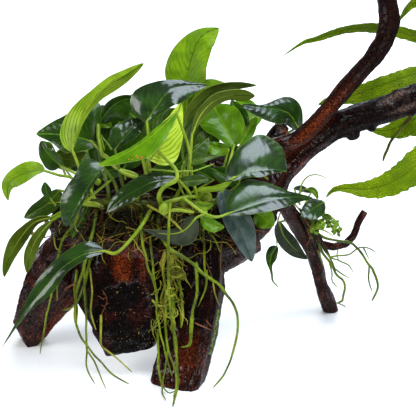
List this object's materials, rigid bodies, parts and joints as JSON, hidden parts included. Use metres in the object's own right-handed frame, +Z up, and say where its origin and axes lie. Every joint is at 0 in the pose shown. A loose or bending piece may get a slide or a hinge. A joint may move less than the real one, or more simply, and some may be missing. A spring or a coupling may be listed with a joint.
{
  "type": "aquarium plants on driftwood",
  "caption": "Forked dark root-wood standing on three legs, planted with a clump of broad glossy leaves, lance-shaped fern fronds and hanging water roots.",
  "frame": {"origin": "on the floor, under the middle of the bounding box", "axes": "+X to the right along the long branch as the picture shows it, +Y away from the viewer, +Z up"},
  "size_m": [0.5774, 0.3518, 0.4104],
  "materials": {
    "driftwood": "wet, dark red-brown root wood with a broken gloss",
    "rhizome": "satin yellow-green creeping stem",
    "water_root": "satin olive-green water root",
    "anubias_leaf": "waxy gloss, dark green above and paler beneath",
    "fern_frond": "thin satin bright green frond",
    "tuft": "crinkled yellow-green plantlet"
  },
  "bodies": {
    "root": {"anubias_leaf_01": "anubias_leaf", "anubias_leaf_02": "anubias_leaf", "anubias_leaf_03": "anubias_leaf", "anubias_leaf_04": "anubias_leaf", "anubias_leaf_05": "anubias_leaf", "anubias_leaf_06": "anubias_leaf", "anubias_leaf_07": "anubias_leaf", "anubias_leaf_08": "anubias_leaf", "anubias_leaf_09": "anubias_leaf", "anubias_leaf_10": "anubias_leaf", "anubias_leaf_11": "anubias_leaf", "anubias_leaf_12": "anubias_leaf", "anubias_leaf_13": "anubias_leaf", "anubias_leaf_14": "anubias_leaf", "anubias_leaf_15": "anubias_leaf", "anubias_leaf_16": "anubias_leaf", "anubias_leaf_17": "anubias_leaf", "anubias_leaf_18": "anubias_leaf", "anubias_leaf_19": "anubias_leaf", "anubias_leaf_20": "anubias_leaf", "anubias_leaf_21": "anubias_leaf", "anubias_leaf_22": "anubias_leaf", "anubias_leaf_23": "anubias_leaf", "anubias_leaf_24": "anubias_leaf", "anubias_leaf_25": "anubias_leaf", "anubias_leaf_26": "anubias_leaf", "anubias_leaf_27": "anubias_leaf", "anubias_leaf_28": "anubias_leaf", "anubias_leaf_29": "anubias_leaf", "anubias_leaf_30": "anubias_leaf", "anubias_leaf_31": "anubias_leaf", "anubias_leaf_32": "anubias_leaf", "back_rhizome": "rhizome", "crinkled_tuft": "tuft", "crown_ridge": "driftwood", "fern_frond_1": "fern_frond", "fern_frond_2": "fern_frond", "fern_frond_3": "fern_frond", "fern_frond_4": "fern_frond", "fern_frond_5": "fern_frond", "fern_frond_6": "fern_frond", "fern_frond_7": "fern_frond", "fern_frond_8": "fern_frond", "fern_frond_9": "fern_frond", "fern_rhizome": "rhizome", "front_rhizome": "rhizome", "front_root": "driftwood", "front_root_strand": "water_root", "left_pale_root": "water_root", "left_root": "driftwood", "left_thick_root": "water_root", "long_right_root": "water_root", "lower_branch": "driftwood", "middle_root": "driftwood", "middle_root_strand": "water_root", "right_root": "driftwood", "root_crown": "driftwood", "root_twig": "driftwood", "small_rhizome": "rhizome", "upper_branch": "driftwood"}
  },
  "joints": []
}
